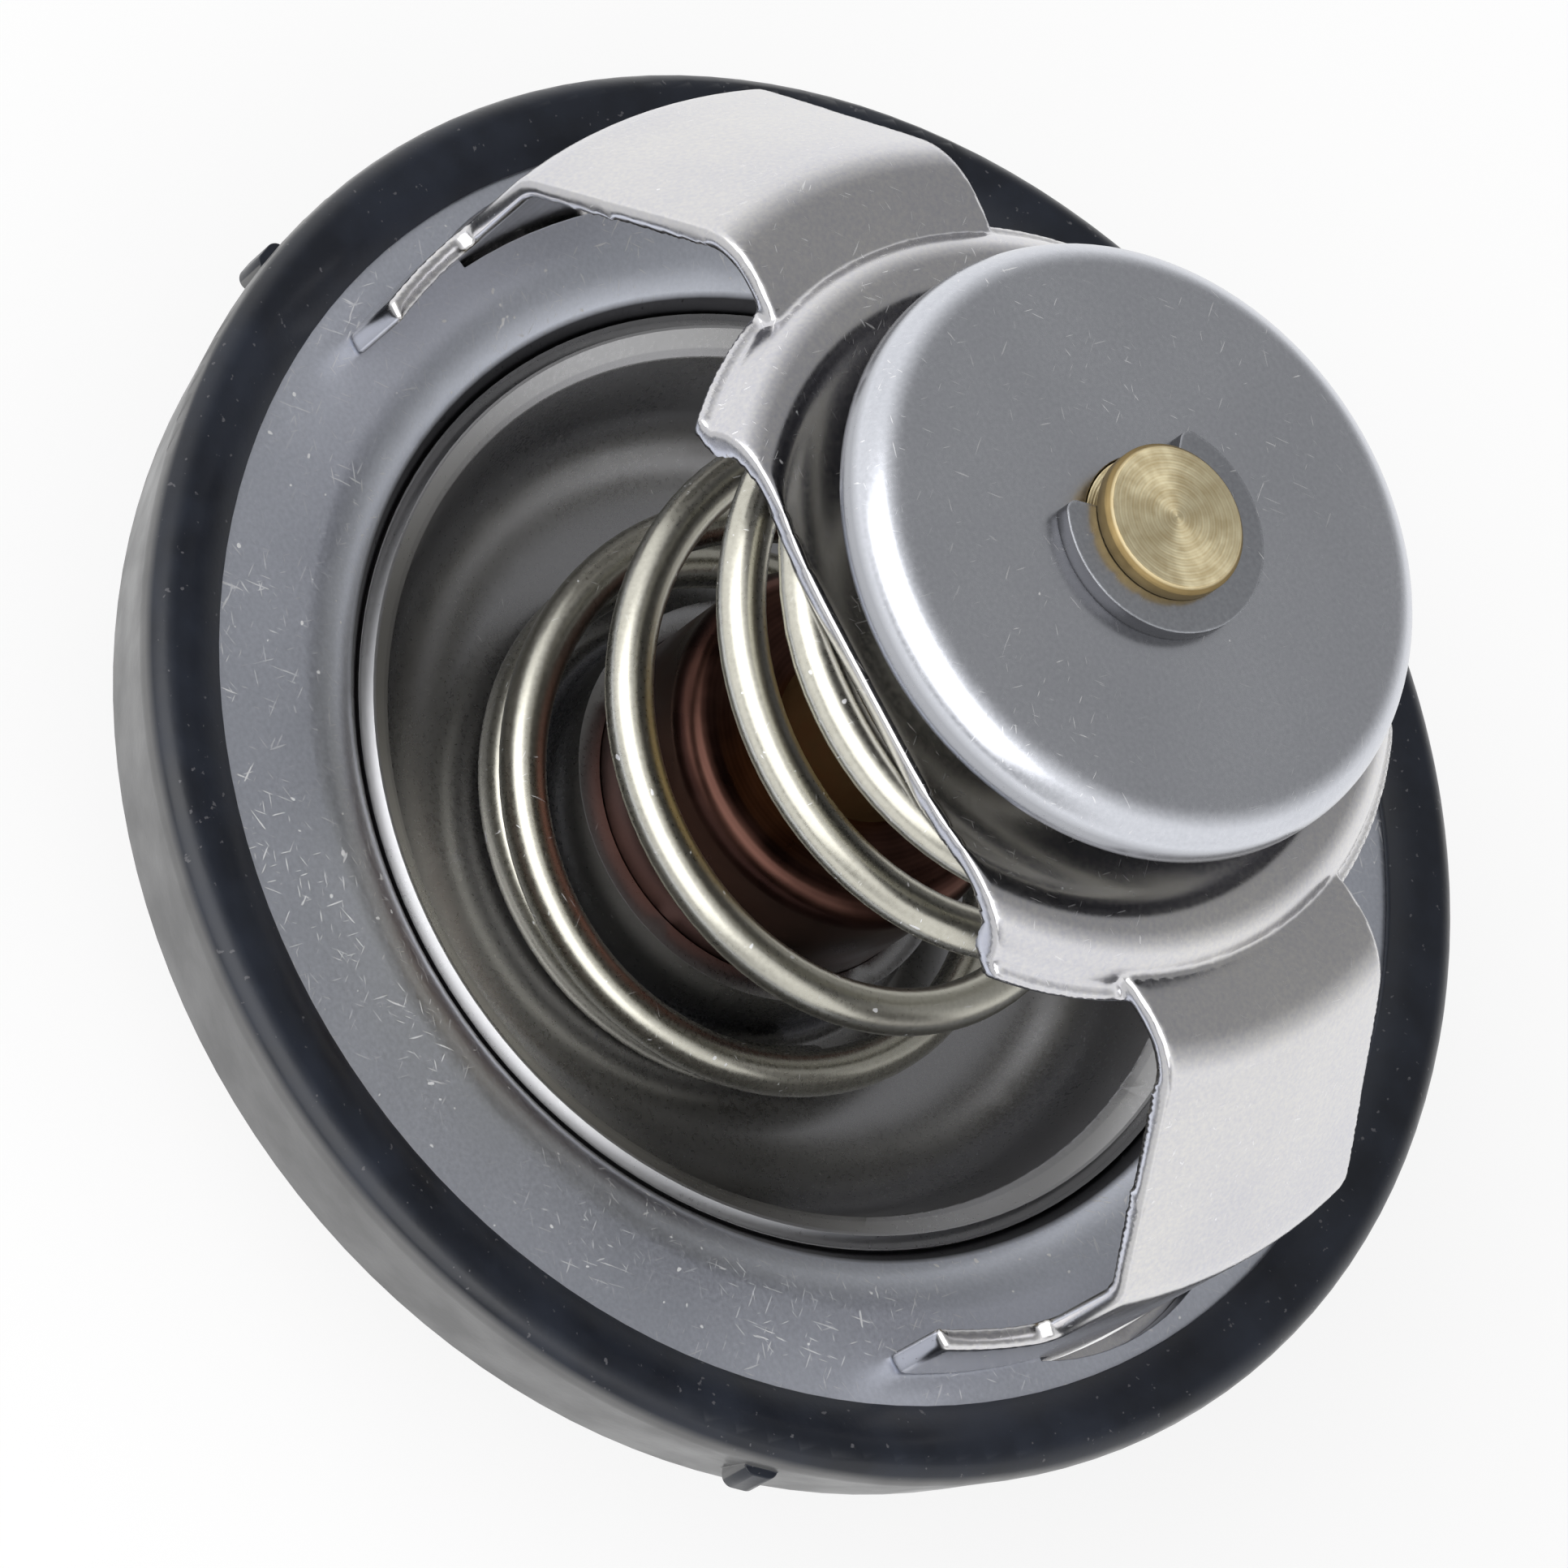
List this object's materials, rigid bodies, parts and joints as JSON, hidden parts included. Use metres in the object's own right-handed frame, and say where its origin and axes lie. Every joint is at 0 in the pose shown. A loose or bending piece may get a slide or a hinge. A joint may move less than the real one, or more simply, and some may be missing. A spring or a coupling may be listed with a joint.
{
  "type": "engine thermostat",
  "caption": "Flanged engine coolant thermostat insert: wax capsule, spring-closed main valve, bypass disc on a stem and a rubber rim gasket.",
  "frame": {"origin": "on the axis, in the plane of the flange face that the frame stands on", "axes": "+Z along the axis, the way the main valve opens and the bypass disc faces; X through the two frame legs"},
  "size_m": [0.064, 0.0641, 0.056],
  "materials": {
    "gasket_rubber": "moulded, matt",
    "flange_steel": "rolled sheet, finely scratched",
    "frame_steel": "pressed sheet, bright",
    "valve_steel": "deep drawn, satin",
    "bypass_steel": "pressed, scratched",
    "spring_steel": "drawn wire",
    "clip_steel": "stamped",
    "capsule_copper": "dark drawn copper alloy",
    "turned_brass": "turned",
    "wax": "cast wax",
    "sleeve_rubber": "moulded",
    "backup_plastic": "turned",
    "piston_steel": "ground and polished"
  },
  "bodies": {
    "root": {"flange_plate": "flange_steel", "gasket": "gasket_rubber", "frame": "frame_steel", "bridge": "frame_steel", "piston": "piston_steel", "main_spring": "spring_steel"},
    "valve": {"valve_disc": "valve_steel", "capsule_cup": "capsule_copper", "capsule_guide": "turned_brass", "wax_charge": "wax", "rubber_sleeve": "sleeve_rubber", "backup_washer": "backup_plastic", "guide_seal": "sleeve_rubber", "stem": "turned_brass", "spring_washer": "clip_steel", "stem_clip": "clip_steel", "bypass_spring": "spring_steel"},
    "bypass": {"bypass_disc": "bypass_steel"}
  },
  "joints": [
    {"name": "valve_lift", "type": "slide", "parent": "root", "child": "valve", "axis": [0, 0, 1], "range_m": [0, 0.009], "stiffness_N_per_m": 4000, "deforming": ["main_spring"]},
    {"name": "bypass_slide", "type": "slide", "parent": "valve", "child": "bypass", "axis": [0, 0, 1], "range_m": [-0.003, 0], "stiffness_N_per_m": 400, "deforming": ["bypass_spring"]}
  ]
}
